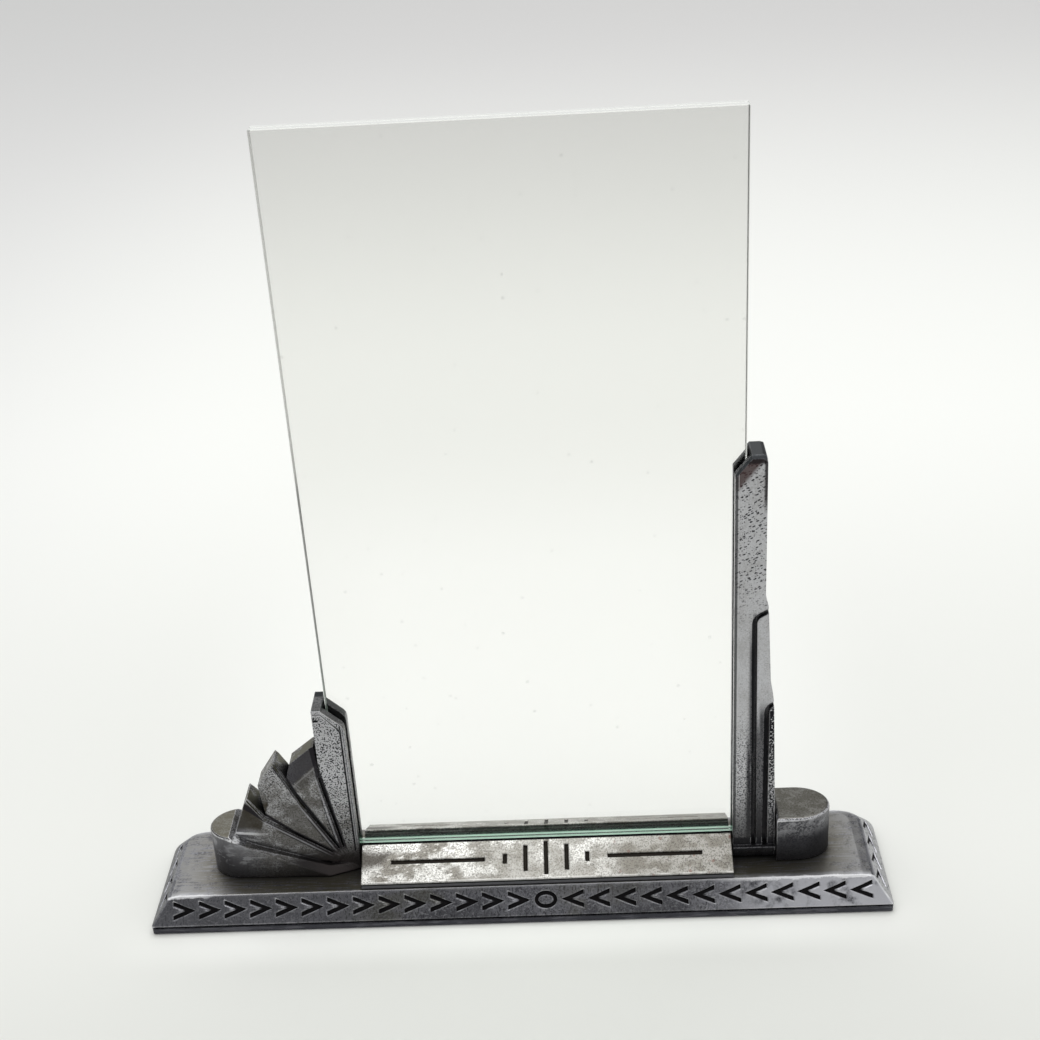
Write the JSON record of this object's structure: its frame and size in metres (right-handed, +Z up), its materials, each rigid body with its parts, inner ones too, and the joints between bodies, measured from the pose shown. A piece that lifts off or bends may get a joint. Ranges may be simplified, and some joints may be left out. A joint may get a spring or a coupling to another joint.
{
  "type": "double glass picture frame",
  "caption": "Free-standing cast metal picture frame: bevelled plinth with incised chevrons, fan bracket, stepped tower bracket and two lift-out panes of glass.",
  "frame": {"origin": "middle of the underside of the plinth", "axes": "+X to the viewer's right along the plinth, +Y to the back, +Z up"},
  "size_m": [0.2076, 0.0388, 0.2216],
  "materials": {
    "plinth_metal": "cast white metal with a dark gunmetal tarnish, worn bright along its edges",
    "bracket_metal": "cast white metal, worn light grey and pitted on its faces, dark in its grooves",
    "rail_metal": "worn plated metal, bright and grainy with a few brown stains",
    "clear_glass": "clear picture glass with green cut edges",
    "screw_steel": "plain slotted screws"
  },
  "bodies": {
    "stand": {"plinth": "plinth_metal", "fan_bracket": "bracket_metal", "tower_bracket": "bracket_metal", "glass_rail": "rail_metal", "fan_screw_outer": "screw_steel", "fan_screw_inner": "screw_steel", "rail_screw_left": "screw_steel", "rail_screw_right": "screw_steel", "tower_screw_inner": "screw_steel", "tower_screw_outer": "screw_steel"},
    "front_pane": {"front_glass": "clear_glass"},
    "rear_pane": {"rear_glass": "clear_glass"}
  },
  "joints": [
    {"name": "front_pane_lift", "type": "slide", "parent": "stand", "child": "front_pane", "axis": [0, 0, 1], "range_m": [0, 0.21]},
    {"name": "rear_pane_lift", "type": "slide", "parent": "stand", "child": "rear_pane", "axis": [0, 0, 1], "range_m": [0, 0.21]}
  ]
}
